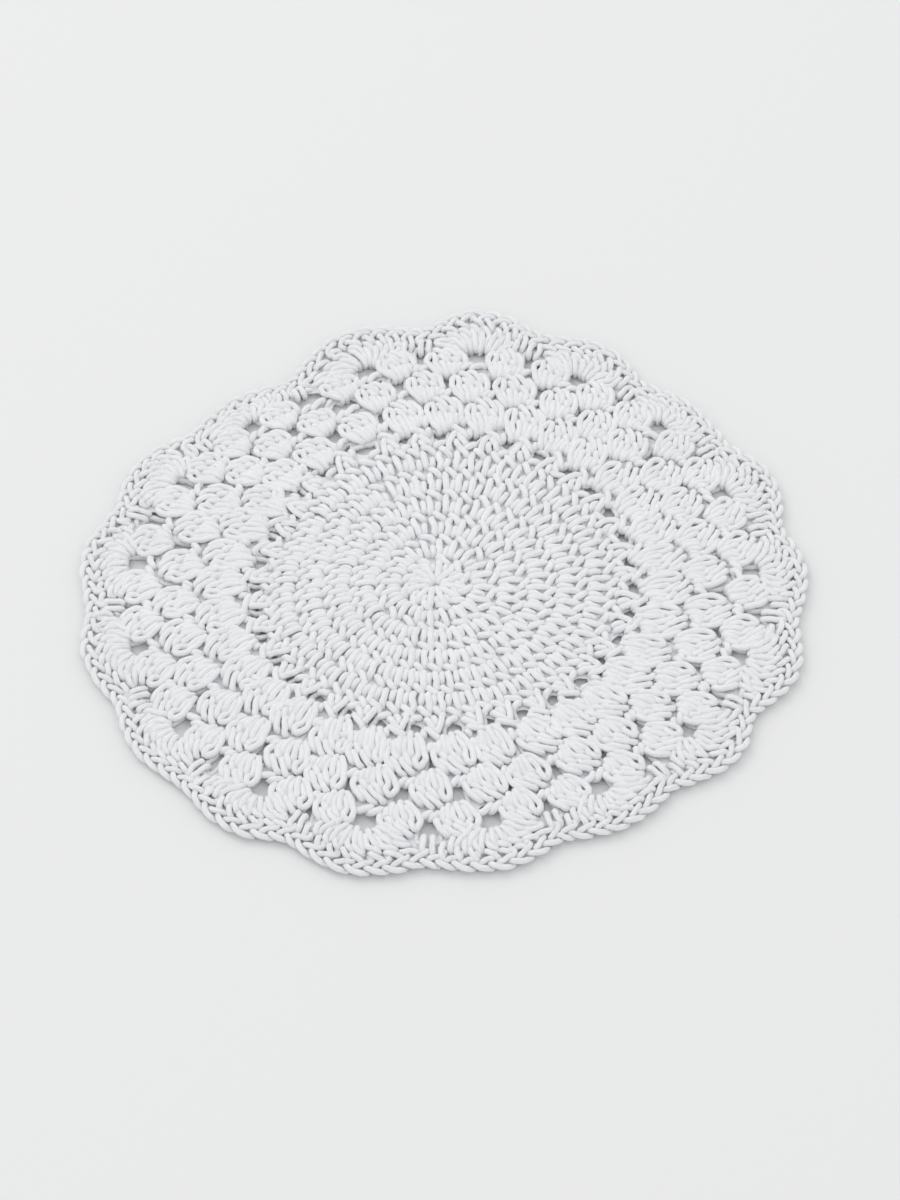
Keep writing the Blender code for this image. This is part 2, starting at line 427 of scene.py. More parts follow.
# Each row is a round of clusters: foot radius and depth (mm), how near the dips the clusters stand,
# and the share by which their feet are gathered.
CLUSTER_ROUNDS = (
    (104.0, 24.0, 0.50, 0.15),
    (126.0, 21.5, 0.50, 0.32),
    (145.6, 19.8, 0.55, 0.32),
)
FARTHEST_FROM_FAN = 6.2         # degrees from a fan's middle to the clusters beside it, at most
LOOPS_BELOW = 12.0              # the part of a link that makes its loops, mm out from the feet
WIDEST_LOOPS = 9.5              # how far those loops spread in a wide gap, mm
GATHERED_TO = 10.0              # how far out from the feet the gathering reaches, mm
GROUP_SHIFT = -1.2              # how far a group sits back from the middle of its place, mm
LEAN = 1.5                      # how far the heads of a group lean to either side, mm
SWELL = 0.05                    # how much wider or narrower one group is than another, as a share
MOST_DEVIATIONS = 2.0           # neither goes further than this many times as far
FAN_FOOT = 165.0                # radius of the feet of the fans, mm
DIP_FOOT = 163.5                # and of the legs in the dips


def column(index):
    """One column of the table of fans."""
    return [row[index] for row in FANS]


MEAN_WAIST = float(np.mean(column(WAIST)))
MEAN_DIP = float(np.mean(column(DIP_REACH)))


def turning_points():
    """Angle and reach of every fan and dip, in order round the mat."""
    points = []
    for row in FANS:
        points.append((row[FAN_ANGLE], row[FAN_REACH]))
        points.append((row[DIP_ANGLE], row[DIP_REACH]))
    return points


def eased_samples(points, ease):
    """Values eased from each (angle, value) to the next, sampled evenly round the circle."""
    angles = np.arange(360 * SAMPLES_PER_DEGREE) / SAMPLES_PER_DEGREE
    values = np.zeros(len(angles))
    for index, (angle, value) in enumerate(points):
        next_angle, next_value = points[(index + 1) % len(points)]
        span = (next_angle - angle) % 360.0
        step = (angles - angle) % 360.0
        inside = step < span
        rise = next_value - value
        values[inside] = value + ease(step[inside] / span, rise > 0.0) * rise
    return values


def even_ease(share, rises):
    """Cosine ease from one row of the table to the next, the same whether it rises or falls."""
    return 0.5 - 0.5 * np.cos(math.pi * share)


def scallop_side(share, rises):
    """Height of a scallop's side, from 0 to 1, at a share of the way along it."""
    from_dip = share if rises else 1.0 - share
    bow = np.sin(0.5 * math.pi * from_dip)
    height = ROUND_BOW * bow + (1.0 - ROUND_BOW) * even_ease(from_dip, rises)
    return height if rises else 1.0 - height


WAISTS = eased_samples([(row[FAN_ANGLE], row[WAIST]) for row in FANS], even_ease)
DIPS = eased_samples([(row[DIP_ANGLE], row[DIP_REACH]) for row in FANS], even_ease)
OUTLINE = eased_samples(turning_points(), scallop_side)


def sampled(samples, angle):
    """A sampled column at any angle, in degrees."""
    place = (np.asarray(angle) % 360.0) * SAMPLES_PER_DEGREE
    low = np.floor(place).astype(int)
    share = place - low
    count = len(samples)
    return samples[low % count] * (1.0 - share) + samples[(low + 1) % count] * share


def uneven(radius, angle):
    """Where a radius of the even mat lies on the real one, in metres."""
    waist = sampled(WAISTS, angle)
    share = (radius - MEAN_WAIST) / (MEAN_DIP - MEAN_WAIST)
    outer = waist + share * (sampled(DIPS, angle) - waist)
    return np.where(radius <= MEAN_WAIST, radius * waist / MEAN_WAIST, outer)


def outline_middle():
    """Middle of the outline's box, measured from the starting ring."""
    spots = []
    points = turning_points()
    for index, (angle, reach) in enumerate(points):
        next_angle, next_reach = points[(index + 1) % len(points)]
        span = (next_angle - angle) % 360.0
        for step in range(STEPS_PER_SCALLOP_SIDE):
            share = step / STEPS_PER_SCALLOP_SIDE
            bow = float(scallop_side(share, next_reach > reach))
            turn = math.radians(angle + span * share)
            radius = reach + bow * (next_reach - reach)
            spots.append((radius * math.cos(turn), radius * math.sin(turn)))
    return 0.5 * (np.min(spots, 0) + np.max(spots, 0))


MIDDLE = outline_middle()


def polar(radius, angle, height):
    """Points in the frame from radius (m) and angle (degrees) round the starting ring."""
    turn = np.radians(angle)
    radius, turn, height = np.broadcast_arrays(radius, turn, height)
    x = radius * np.cos(turn) - MIDDLE[0]
    y = radius * np.sin(turn) - MIDDLE[1]
    return np.stack([x, y, height], -1)


# ---------------------------------------------------------------- laying the stitches
RNG = np.random.default_rng(SEED)
WANDER = np.array((0.28, 0.28, 0.12))       # how far one point of a route wanders, mm
STITCH_WANDER = np.array((0.50, 0.50, 0.12))


def worked(table, wander=1.0):
    """One stitch's route in millimetres, with the unevenness of hand work."""
    route = np.array(table, float)
    shift = RNG.normal(size=3) * STITCH_WANDER
    return route + wander * (shift + RNG.normal(size=route.shape) * WANDER)


def in_round(route, start, width, turn, foot, stretch=1.0):
    """A route laid in a round, where its width takes turn degrees clockwise from start."""
    angle = start - route[:, 0] / width * turn
    radius = uneven((foot + route[:, 1] * stretch) * MM, angle)
    return polar(radius, angle, route[:, 2] * MM)


def on_line(route, foot, head, depth):
    """A route laid along the line from foot to head, which are points in the plane of the mat."""
    out = (head - foot) / depth
    length = np.linalg.norm(out)
    forward = np.array((out[1], -out[0])) / length
    plan = foot + np.outer(route[:, 1], out) + np.outer(route[:, 0] * MM, forward)
    return np.column_stack([plan, route[:, 2] * MM])


def stitches_round(table, start, count, foot, depth):
    """One closed round of stitches side by side, from the angle start (degrees) clockwise."""
    turn = 360.0 / count
    stretch = depth / HALF_DOUBLE_DEPTH
    laid = []
    for index in range(count):
        angle = start - index * turn
        laid.append(in_round(worked(table), angle, HALF_DOUBLE_WIDTH, turn, foot, stretch))
    return np.concatenate(laid)


def disc_round(foot, depth, count, start):
    """One closed round of half double crochet."""
    return stitches_round(HALF_DOUBLE, start, count, foot, depth)


def start_round():
    """The star of the first stitches, whose long strands meet in the middle."""
    first_foot = DISC_ROUNDS[0][0]
    return stitches_round(START_STITCH, 0.0, START_STITCHES, START_FOOT, first_foot - START_FOOT)


def post_angles():
    """The angles of the fans and dips, clockwise: the way the work goes."""
    return [angle for angle, _ in reversed(turning_points())]


def cluster_angles(on_posts, towards_dip):
    """The angle of each cluster of a round, clockwise."""
    if on_posts:
        return post_angles()
    angles = []
    for index in reversed(range(len(FANS))):
        fan, dip = FANS[index][FAN_ANGLE], FANS[index][DIP_ANGLE]
        next_fan = FANS[(index + 1) % len(FANS)][FAN_ANGLE]
        angles.append(next_fan - min(towards_dip * ((next_fan - dip) % 360.0), FARTHEST_FROM_FAN))
        angles.append(fan + min(towards_dip * ((dip - fan) % 360.0), FARTHEST_FROM_FAN))
    return angles


def laid_group(group, angle, foot, depth, gather):
    """One group of stitches on its spoke, leaning and swelling a little."""
    near = polar(uneven(foot * MM, angle), angle, 0.0)[:2]
    head_radius = float(uneven((foot + depth) * MM, angle))
    lean, swell = np.clip(RNG.normal(size=2), -MOST_DEVIATIONS, MOST_DEVIATIONS)
    far = polar(head_radius, angle + math.degrees(lean * LEAN * MM / head_radius), 0.0)[:2]
    route = worked(group.table)
    route[:, 0] *= 1.0 + swell * SWELL
    route[:, 0] *= 1.0 - gather * np.clip(1.0 - route[:, 1] / GATHERED_TO, 0.0, 1.0)
    return on_line(route, near, far, group.depth)


def laid_link(group, angle, ahead, foot, depth):
    """The link of chain from the group at an angle to the next, ahead degrees further clockwise."""
    route = worked(group.link)
    route[:, 0] = np.array(group.link)[:, 0]
    out = (foot + route[:, 1] * depth / group.depth) * MM
    radius = uneven(out, angle)
    first = np.degrees(group.right * MM / radius)
    last = ahead + np.degrees(group.left * MM / radius)
    spread = WIDEST_LOOPS * MM / (np.radians(last - first) * radius)
    loops = 0.5 + (route[:, 0] - 0.5) * np.minimum(1.0, spread)
    share = np.where(route[:, 1] < LOOPS_BELOW, loops, route[:, 0])
    turned = angle - (first + share * (last - first))
    return polar(uneven(out, turned), turned, route[:, 2] * MM)


def linked_round(group, angles, foot, depth, gather=0.0):
    """One closed round of groups of stitches joined by links of chain."""
    centres = []
    for angle in angles:
        radius = float(uneven(foot * MM, angle))
        centres.append(angle - math.degrees(GROUP_SHIFT * MM / radius))
    laid = []
    for index, angle in enumerate(centres):
        ahead = (angle - centres[(index + 1) % len(centres)]) % 360.0
        laid.append(laid_group(group, angle, foot, depth, gather))
        laid.append(laid_link(group, angle, ahead, foot, depth))
    return np.concatenate(laid)


def fan_stitches(fan, dip_before, dip_after):
    """The stitches of one fan, from the dip on its counter-clockwise side to the other."""
    angle = fan[FAN_ANGLE]
    foot_radius = float(uneven(FAN_FOOT * MM, angle))
    middle = 0.5 * (FAN_STITCHES - 1)
    laid = []
    for index in range(FAN_STITCHES):
        place = (index - middle) / middle
        foot_angle = angle - math.degrees((index - middle) * FAN_FOOT_SPREAD * MM / foot_radius)
        span = (angle - dip_after) % 360.0 if place > 0 else (dip_before - angle) % 360.0
        head_angle = angle - place * FAN_HEAD_SHARE * span
        foot = polar(foot_radius - FAN_FOOT_ARCH * place * place * MM, foot_angle, 0.0)[:2]
        head = polar(sampled(OUTLINE, head_angle) - FAN_HEAD_INSET * MM, head_angle, 0.0)[:2]
        laid.append(on_line(worked(FAN_STITCH), foot, head, FAN_STITCH_DEPTH))
    return laid


def fan_round():
    """The fans and the pair of legs in each dip, all on one closed cord."""
    laid = []
    for index in reversed(range(len(FANS))):
        fan = FANS[index]
        dip_before = fan[DIP_ANGLE]
        dip_after = FANS[index - 1][DIP_ANGLE]
        laid += fan_stitches(fan, dip_before, dip_after)
        foot = polar(uneven(DIP_FOOT * MM, dip_after), dip_after, 0.0)[:2]
        head = polar(sampled(OUTLINE, dip_after) - FAN_HEAD_INSET * MM, dip_after, 0.0)[:2]
        bar = np.linalg.norm(foot + MIDDLE) + BAR_OUT * MM
        ends = np.array(BAR_ENDS)
        heights = np.array(BAR_HEIGHTS) * MM
        span = (fan[FAN_ANGLE] - dip_after) % 360.0
        after = (dip_after - FANS[index - 1][FAN_ANGLE]) % 360.0
        laid.append(polar(bar, dip_after + span * ends[::-1], heights[::-1]))
        laid.append(on_line(worked(DIP_STITCH), foot, head, DIP_DEPTH))
        laid.append(polar(bar, dip_after - after * ends, heights))
    return np.concatenate(laid)


def edging_round():
    """The braided edging, one closed cord that follows the outline clockwise."""
    angles = np.arange(360 * SAMPLES_PER_DEGREE) / SAMPLES_PER_DEGREE
    line = polar(OUTLINE - EDGING_DEPTH * MM, angles, 0.0)[::-1]
    steps = np.linalg.norm(np.roll(line, -1, 0) - line, axis=1)
    walked = np.concatenate([[0.0], np.cumsum(steps)])
    closed = np.vstack([line, line[:1]])

    def on_outline(along):
        return np.column_stack(
            [np.interp(along % walked[-1], walked, closed[:, axis]) for axis in (0, 1)])

    count = int(round(walked[-1] / (EDGING_PITCH * MM)))
    pitch = walked[-1] / count
    laid = []
    for index in range(count):
        route = worked(EDGING, EDGING_WANDER)
        along = (index + route[:, 0] / EDGING_PITCH) * pitch
        spot = on_outline(along)
        way = on_outline(along + MM) - spot
        way /= np.linalg.norm(way, axis=1)[:, None]
        out = np.column_stack([-way[:, 1], way[:, 0]])
        plan = spot + out * route[:, 1:2] * MM
        laid.append(np.column_stack([plan, route[:, 2] * MM]))
    return np.concatenate(laid)


# ---------------------------------------------------------------- the cord's curve
CURVE_STEPS = 8                 # points from one row of a route to the next, before even spacing


def curve_through(points):
    """A closed centripetal Catmull-Rom curve through the points, evenly spaced by about STEP."""
    before, here, after, later = (np.roll(points, shift, 0) for shift in (1, 0, -1, -2))
    knots = [np.zeros(len(points))]
    for a, b in ((before, here), (here, after), (after, later)):
        knots.append(knots[-1] + np.sqrt(np.linalg.norm(b - a, axis=1)) + 1e-6)
    t0, t1, t2, t3 = (knot[:, None, None] for knot in knots)
    share = np.arange(CURVE_STEPS)[None, :, None] / CURVE_STEPS
    t = t1 + (t2 - t1) * share
    p0, p1, p2, p3 = (spots[:, None, :] for spots in (before, here, after, later))
    a1 = (t1 - t) / (t1 - t0) * p0 + (t - t0) / (t1 - t0) * p1
    a2 = (t2 - t) / (t2 - t1) * p1 + (t - t1) / (t2 - t1) * p2
    a3 = (t3 - t) / (t3 - t2) * p2 + (t - t2) / (t3 - t2) * p3
    b1 = (t2 - t) / (t2 - t0) * a1 + (t - t0) / (t2 - t0) * a2
    b2 = (t3 - t) / (t3 - t1) * a2 + (t - t1) / (t3 - t1) * a3
    dense = ((t2 - t) / (t2 - t1) * b1 + (t - t1) / (t2 - t1) * b2).reshape(-1, 3)
    return evenly_spaced(dense)


def evenly_spaced(points):
    """A closed polyline resampled with even steps."""
    closed = np.vstack([points, points[:1]])
    walked = np.concatenate([[0.0], np.cumsum(np.linalg.norm(np.diff(closed, axis=0), axis=1))])
    count = int(round(walked[-1] / (STEP * MM)))
    along = np.arange(count) * walked[-1] / count
    return np.column_stack([np.interp(along, walked, closed[:, axis]) for axis in range(3)])


# ---------------------------------------------------------------- easing the strands apart
TOUCH = 0.90 * CORD * MM        # strands press into each other by this much at most
SETTLE_STEPS = 20
REBUILD_EVERY = 6               # steps between two searches for rings that are close
SLACK = 0.7 * MM                # how much further than a touch each search looks
HOLD = 0.15                     # pull back to the laid place
SMOOTH = 0.05                   # pull towards the middle of the two neighbours
PUSH = np.array((0.32, 0.32, 0.60))     # share of an overlap that one step clears
NEAR_ALONG = 4                  # rings this close along the cord don't press on each other
HIDDEN_BELOW = 2.7 * MM         # strands laid lower than this give way to the ones that show
FIRM = 0.25                     # how much a strand that shows gives way, against a hidden one


def close_pairs(points, reach):
    """Index pairs of points that are nearer than reach, by sorting them into cubes."""
    cell = np.floor(points / reach).astype(np.int64)
    cell -= cell.min(0)
    size = cell.max(0) + 3
    key = (cell[:, 0] * size[1] + cell[:, 1]) * size[2] + cell[:, 2]
    order = np.argsort(key, kind="stable")
    sorted_key = key[order]
    firsts, seconds = [], []
    for dx in (-1, 0, 1):
        for dy in (-1, 0, 1):
            for dz in (-1, 0, 1):
                if (dx, dy, dz) < (0, 0, 0):
                    continue
                wanted = sorted_key + (dx * size[1] + dy) * size[2] + dz
                start = np.searchsorted(sorted_key, wanted, "left")
                stop = np.searchsorted(sorted_key, wanted, "right")
                count = stop - start
                first = np.repeat(np.arange(len(points)), count)
                skipped = np.repeat(np.cumsum(count) - count, count)
                second = np.arange(len(first)) - skipped + np.repeat(start, count)
                if (dx, dy, dz) == (0, 0, 0):
                    later = second > first
                    first, second = first[later], second[later]
                firsts.append(order[first])
                seconds.append(order[second])
    first, second = np.concatenate(firsts), np.concatenate(seconds)
    near = ((points[first] - points[second]) ** 2).sum(1) < reach * reach
    return first[near], second[near]


def settled(cords):
    """The cords' rings after pressing strands have eased apart."""
    sizes = [len(cord) for cord in cords]
    starts = np.concatenate([[0], np.cumsum(sizes)])
    points = np.concatenate(cords)
    laid = points.copy()
    owner = np.repeat(np.arange(len(cords)), sizes)
    index = np.arange(len(points))
    size_of = np.array(sizes)[owner]
    start_of = starts[:-1][owner]
    before = start_of + (index - start_of - 1) % size_of
    after = start_of + (index - start_of + 1) % size_of
    give = np.where(laid[:, 2] < HIDDEN_BELOW, 1.0, FIRM)
    for step in range(SETTLE_STEPS):
        if step % REBUILD_EVERY == 0:
            first, second = close_pairs(points, TOUCH + SLACK)
            apart = np.abs(first - second)
            apart = np.minimum(apart, size_of[first] - apart)
            keep = (owner[first] != owner[second]) | (apart > NEAR_ALONG)
            first, second = first[keep], second[keep]
        gap = points[second] - points[first]
        length = np.sqrt((gap ** 2).sum(1)) + 1e-9
        overlap = np.clip(TOUCH - length, 0.0, None)
        push = gap * (overlap / length)[:, None] * PUSH
        first_part = (give[first] / (give[first] + give[second]))[:, None]
        back, forth = push * first_part, push * (1.0 - first_part)
        move = np.zeros_like(points)
        for axis in range(3):
            move[:, axis] -= np.bincount(first, back[:, axis], len(points))
            move[:, axis] += np.bincount(second, forth[:, axis], len(points))
        pressed = overlap > 0
        count = np.bincount(first, pressed, len(points)) + np.bincount(second, pressed, len(points))
        move /= np.maximum(1.0, 0.5 * count)[:, None]
        middle = 0.5 * (points[before] + points[after])
        points = points + move + SMOOTH * (middle - points) + HOLD * (laid - points)
        points[:, 2] = np.clip(points[:, 2], LOW_LIMIT * MM, TOP_LIMIT * MM)
    return [points[start:stop] for start, stop in zip(starts, starts[1:])]


# ---------------------------------------------------------------- sweeping the cord
def sweep(name, cords, material):
    """One mesh of round closed cords, with a map of (along, around) for the fibres."""
    squeeze = DISC_SQUEEZE if name.startswith("disc") else SQUEEZE
    thick = CORD * MM * BORDER_CORD.get(name, 1.0)
    vertices, faces, along_map, around_map, ring_map = [], [], [], [], []
    base = 0
    for cord in cords:
        rings = len(cord)
        tangent = np.roll(cord, -1, 0) - np.roll(cord, 1, 0)
        tangent /= np.linalg.norm(tangent, axis=1)[:, None]
        side = carried(tangent)
        up = np.cross(tangent, side)
        turn = (2.0 * math.pi * np.arange(SIDES) / SIDES)[None, :, None]
        circle = np.cos(turn) * side[:, None, :] + np.sin(turn) * up[:, None, :]
        radius = 0.5 * thick * np.interp(cord[:, 2] / MM, SQUEEZE_HEIGHT, squeeze)
        vertices.append((cord[:, None, :] + radius[:, None, None] * circle).reshape(-1, 3))
        ring = np.arange(rings)[:, None]
        corner = np.arange(SIDES)[None, :]
        next_ring = (ring + 1) % rings
        next_corner = (corner + 1) % SIDES
        quads = np.stack([ring * SIDES + corner, ring * SIDES + next_corner,
                          next_ring * SIDES + next_corner, next_ring * SIDES + corner], -1)
        faces.append(quads.reshape(-1, 4) + base)
        ring_map.append(np.repeat(base // SIDES + np.repeat(ring.ravel(), SIDES), 4))
        base += rings * SIDES
        along = np.broadcast_to(ring, (rings, SIDES)) * STEP * MM
        around = np.broadcast_to(corner, (rings, SIDES)) / SIDES
        next_along, next_around = along + STEP * MM, around + 1 / SIDES
        along_map.append(np.stack([along, along, next_along, next_along], -1).ravel())
        around_map.append(np.stack([around, next_around, next_around, around], -1).ravel())
    spots = np.column_stack([np.concatenate(along_map), np.concatenate(around_map)])
    maps = {"cord": spots, "OFBake": in_rows(np.concatenate(ring_map), spots[:, 1], base // SIDES)}
    return meshed(name, np.concatenate(vertices), np.concatenate(faces), maps, material)


def in_rows(ring, around, rings):
    """A map without overlaps: the cords cut into rows of like length, one above the other."""
    row_length = int(math.sqrt(rings * math.pi * CORD / STEP))
    rows = ring.max() // row_length + 1
    ahead = np.tile((0, 0, 1, 1), len(ring) // 4)
    across = (ring % row_length + ahead) / row_length
    up = (ring // row_length + around) / rows
    return np.column_stack([across, up])


def meshed(name, vertices, faces, maps, material):
    """A smooth object of quads with its maps."""
    data = bpy.data.meshes.new(name)
    data.vertices.add(len(vertices))
    data.vertices.foreach_set("co", vertices.ravel().astype(np.float32))
    data.loops.add(faces.size)
    data.loops.foreach_set("vertex_index", faces.ravel().astype(np.int32))
    data.polygons.add(len(faces))
    data.polygons.foreach_set("loop_start", np.arange(0, faces.size, 4, dtype=np.int32))
    data.polygons.foreach_set("use_smooth", np.ones(len(faces), bool))
    for map_name, spots in maps.items():
        layer = data.uv_layers.new(name=map_name)
        layer.uv.foreach_set("vector", spots.ravel().astype(np.float32))
    data.update(calc_edges=True)
    data.validate()
    data.materials.append(material)
    thing = bpy.data.objects.new(name, data)
    bpy.context.scene.collection.objects.link(thing)
    return thing


def carried(tangent):
    """A direction across the cord at each ring, carried on without twist and closed smoothly."""
    sides = np.zeros_like(tangent)
    start = np.cross(tangent[0], (0.0, 0.0, 1.0))
    side = start / np.linalg.norm(start)
    rows = tangent.tolist()
    side = side.tolist()
    for index, (x, y, z) in enumerate(rows):
        along = side[0] * x + side[1] * y + side[2] * z
        side = [side[0] - along * x, side[1] - along * y, side[2] - along * z]
        size = math.sqrt(side[0] ** 2 + side[1] ** 2 + side[2] ** 2)
        side = [side[0] / size, side[1] / size, side[2] / size]
        sides[index] = side
    up = np.cross(tangent, sides)
    miss = math.atan2(float(np.dot(up[0], sides[-1])), float(np.dot(sides[0], sides[-1])))
    turn = -miss * np.arange(len(tangent)) / len(tangent)
    return sides * np.cos(turn)[:, None] + up * np.sin(turn)[:, None]


# ---------------------------------------------------------------- materials
FIBRE_TWIST = 60.0              # turn of the fibres round the cord, radians a metre
FIBRE_STRETCH = 260.0           # fibre patterns a metre along the cord
FIBRE_COUNT = 4.5               # fibre patterns across a radius of the cord
FUZZ_SCALE = 2600.0             # specks of fuzz a metre
PATCH_SCALE = 60.0              # lighter and darker patches a metre
FIBRE_HEIGHT = 0.45             # how high the fibres stand, mm
FUZZ_HEIGHT = 0.22              # and the fuzz on them
FIBRE_SHADE = 0.13              # how much the colour varies from fibre to fibre
PATCH_SHADE = 0.08              # and from patch to patch
WHITE = (0.935, 0.942, 0.953)
INSIDE_PAINTED_SHADE = (0.87, 0.88, 0.90)     # painted shade: the cord's colour dimmed, for the shade deep inside the layer of cord


def cotton(name, colour):
    """Soft matt cotton: fine fibres along the cord, faintly uneven in colour, with light fuzz."""
    material = bpy.data.materials.new(name)
    material.use_nodes = True
    nodes = material.node_tree.nodes
    links = material.node_tree.links
    shader = nodes["Principled BSDF"]
    shader.inputs["Roughness"].default_value = 0.95
    shader.inputs["Specular IOR Level"].default_value = 0.15
    shader.inputs["Sheen Weight"].default_value = 0.08
    shader.inputs["Sheen Roughness"].default_value = 0.5

    def maths(operation, first, second):
        node = nodes.new("ShaderNodeMath")
        node.operation = operation
        for socket, value in zip(node.inputs, (first, second)):
            if isinstance(value, (int, float)):
                socket.default_value = value
            elif value is not None:
                links.new(value, socket)
        return node.outputs[0]

    def noise(vector, scale, detail):
        node = nodes.new("ShaderNodeTexNoise")
        node.inputs["Scale"].default_value = scale
        node.inputs["Detail"].default_value = detail
        links.new(vector, node.inputs["Vector"])
        return node.outputs["Fac"]

    cord_map = nodes.new("ShaderNodeUVMap")
    cord_map.uv_map = "cord"
    parts = nodes.new("ShaderNodeSeparateXYZ")
    links.new(cord_map.outputs[0], parts.inputs[0])
    along, around = parts.outputs[0], parts.outputs[1]
    facing = maths("MULTIPLY", around, 2.0 * math.pi)
    turn = maths("ADD", facing, maths("MULTIPLY", along, FIBRE_TWIST))
    round_cord = nodes.new("ShaderNodeCombineXYZ")
    links.new(maths("MULTIPLY", along, FIBRE_STRETCH), round_cord.inputs[0])
    links.new(maths("MULTIPLY", maths("COSINE", turn, None), FIBRE_COUNT), round_cord.inputs[1])
    links.new(maths("MULTIPLY", maths("SINE", turn, None), FIBRE_COUNT), round_cord.inputs[2])
    fibres = noise(round_cord.outputs[0], 1.0, 2.0)
    spot = nodes.new("ShaderNodeTexCoord").outputs["Object"]
    fuzz = noise(spot, FUZZ_SCALE, 2.0)
    patches = noise(spot, PATCH_SCALE, 2.0)

    raised = maths("MULTIPLY", fibres, FIBRE_HEIGHT)
    height = maths("ADD", raised, maths("MULTIPLY", fuzz, FUZZ_HEIGHT))
    bump = nodes.new("ShaderNodeBump")
    bump.inputs["Strength"].default_value = 1.0
    bump.inputs["Distance"].default_value = MM
    links.new(height, bump.inputs["Height"])
    links.new(bump.outputs[0], shader.inputs["Normal"])

    streaks = maths("MULTIPLY", fibres, FIBRE_SHADE)
    shade = maths("ADD", streaks, maths("MULTIPLY", patches, PATCH_SHADE))
    brightness = maths("ADD", shade, 1.0 - 0.5 * (FIBRE_SHADE + PATCH_SHADE))
    tint = nodes.new("ShaderNodeVectorMath")
    tint.operation = "SCALE"
    tint.inputs[0].default_value = colour
    links.new(brightness, tint.inputs["Scale"])
    links.new(tint.outputs[0], shader.inputs["Base Color"])
    return material


# ---------------------------------------------------------------- floor, light and camera
CAMERA_ELEVATION = 49.5         # degrees
CAMERA_DISTANCE = 2.28          # from the starting ring, m
CAMERA_LENS = 131.8             # mm, with a sensor of 36 mm along the picture's long side
CAMERA_SIGHT = 50.0             # how far it sees, m
RING_TOP = 0.006                # height of the top of the starting ring, m
RING_RIGHT = -0.00805           # where the ring shows, right of and above the picture's middle, m
RING_ABOVE = 0.0088
WORLD_COLOUR = (0.985, 0.99, 1.0, 1.0)
WORLD_LIGHT = 0.885
LAMP_COLOUR = (1.0, 0.99, 0.97)
LAMP_POWER = 25.0               # W
LAMP_SIDE = 2.4                 # m
LAMP_PLACE = (-2.0, 1.8, 3.0)   # m
FLOOR_REACH = 6.0               # from the middle to each side, m
FLOOR_COLOUR = (0.847, 0.848, 0.845, 1.0)


def add_camera():
    """The camera, looking along +Y and down on the mat."""
    tilt = math.radians(CAMERA_ELEVATION)
    forward = Vector((0.0, math.cos(tilt), -math.sin(tilt)))
    up = Vector((0.0, math.sin(tilt), math.cos(tilt)))
    right = Vector((1.0, 0.0, 0.0))
    ring = Vector((-MIDDLE[0], -MIDDLE[1], RING_TOP))
    data = bpy.data.cameras.new("camera")
    data.lens = CAMERA_LENS
    data.clip_end = CAMERA_SIGHT
    camera = bpy.data.objects.new("camera", data)
    camera.location = ring - CAMERA_DISTANCE * forward - RING_RIGHT * right - RING_ABOVE * up
    camera.rotation_euler = (math.radians(90.0 - CAMERA_ELEVATION), 0.0, 0.0)
    bpy.context.scene.collection.objects.link(camera)
    bpy.context.scene.camera = camera


def add_floor():
    """A wide plain floor."""
    data = bpy.data.meshes.new("floor")
    signs = ((-1, -1), (1, -1), (1, 1), (-1, 1))
    corners = [(x * FLOOR_REACH, y * FLOOR_REACH, 0.0) for x, y in signs]
    data.from_pydata(corners, [], [(0, 1, 2, 3)])
    floor = bpy.data.objects.new("floor", data)
    material = bpy.data.materials.new("floor_paper")
    material.use_nodes = True
    shader = material.node_tree.nodes["Principled BSDF"]
    shader.inputs["Base Color"].default_value = FLOOR_COLOUR
    shader.inputs["Roughness"].default_value = 0.9
    shader.inputs["Specular IOR Level"].default_value = 0.2
    data.materials.append(material)
    bpy.context.scene.collection.objects.link(floor)


def add_light():
    """Soft light from all round, with a large soft source above and behind on the left."""
    world = bpy.data.worlds.new("studio")
    world.use_nodes = True
    background = world.node_tree.nodes["Background"]
    background.inputs["Color"].default_value = WORLD_COLOUR
    background.inputs["Strength"].default_value = WORLD_LIGHT
    bpy.context.scene.world = world
    data = bpy.data.lights.new("window", "AREA")
    data.shape = "RECTANGLE"
    data.size = LAMP_SIDE
    data.size_y = LAMP_SIDE
    data.energy = LAMP_POWER
    data.color = LAMP_COLOUR
    lamp = bpy.data.objects.new("window", data)
    lamp.location = LAMP_PLACE
    lamp.rotation_euler = (-lamp.location).to_track_quat("-Z", "Y").to_euler()
    bpy.context.scene.collection.objects.link(lamp)


# ---------------------------------------------------------------- the mat
GROUND_HEIGHT = 0.0028          # where the sheet lies in the layer of cord, m
GROUND_EDGE = 0.0032            # how far the sheet keeps inside the outline, m
GROUND_COLUMNS = 480
GROUND_RINGS = 60
# The gaps of the even mat that the sheet leaves open: radius, and half the width and depth (mm).
DIP_GAP = (160.0, 5.6, 6.6)
OPENWORK_GAP = (100.2, 6.6, 4.4)
UPPER_CLUSTER_GAP = (141.0, 4.6, 6.6)       # between the clusters of the second round
LOWER_CLUSTER_GAP = (119.0, 3.2, 4.6)       # and of the first
HOLE_RADIUS = 157.6             # where the holes under the fans lie, mm
HOLE_MARGIN = 2.2               # how far the sheet keeps back from the hole under a fan, mm
CLUSTER_REACH = 10.0            # the sheet keeps under a cluster this far from its middle, mm
NARROWEST_GAP = 2.4             # half the width of the narrowest opening beside a cluster, mm
GAP_DEPTH_SHARE = 0.40          # half the depth of such an opening, of the round's depth
SMALLEST_REACH = 0.05           # keeps a point in the very middle of a gap from flying off


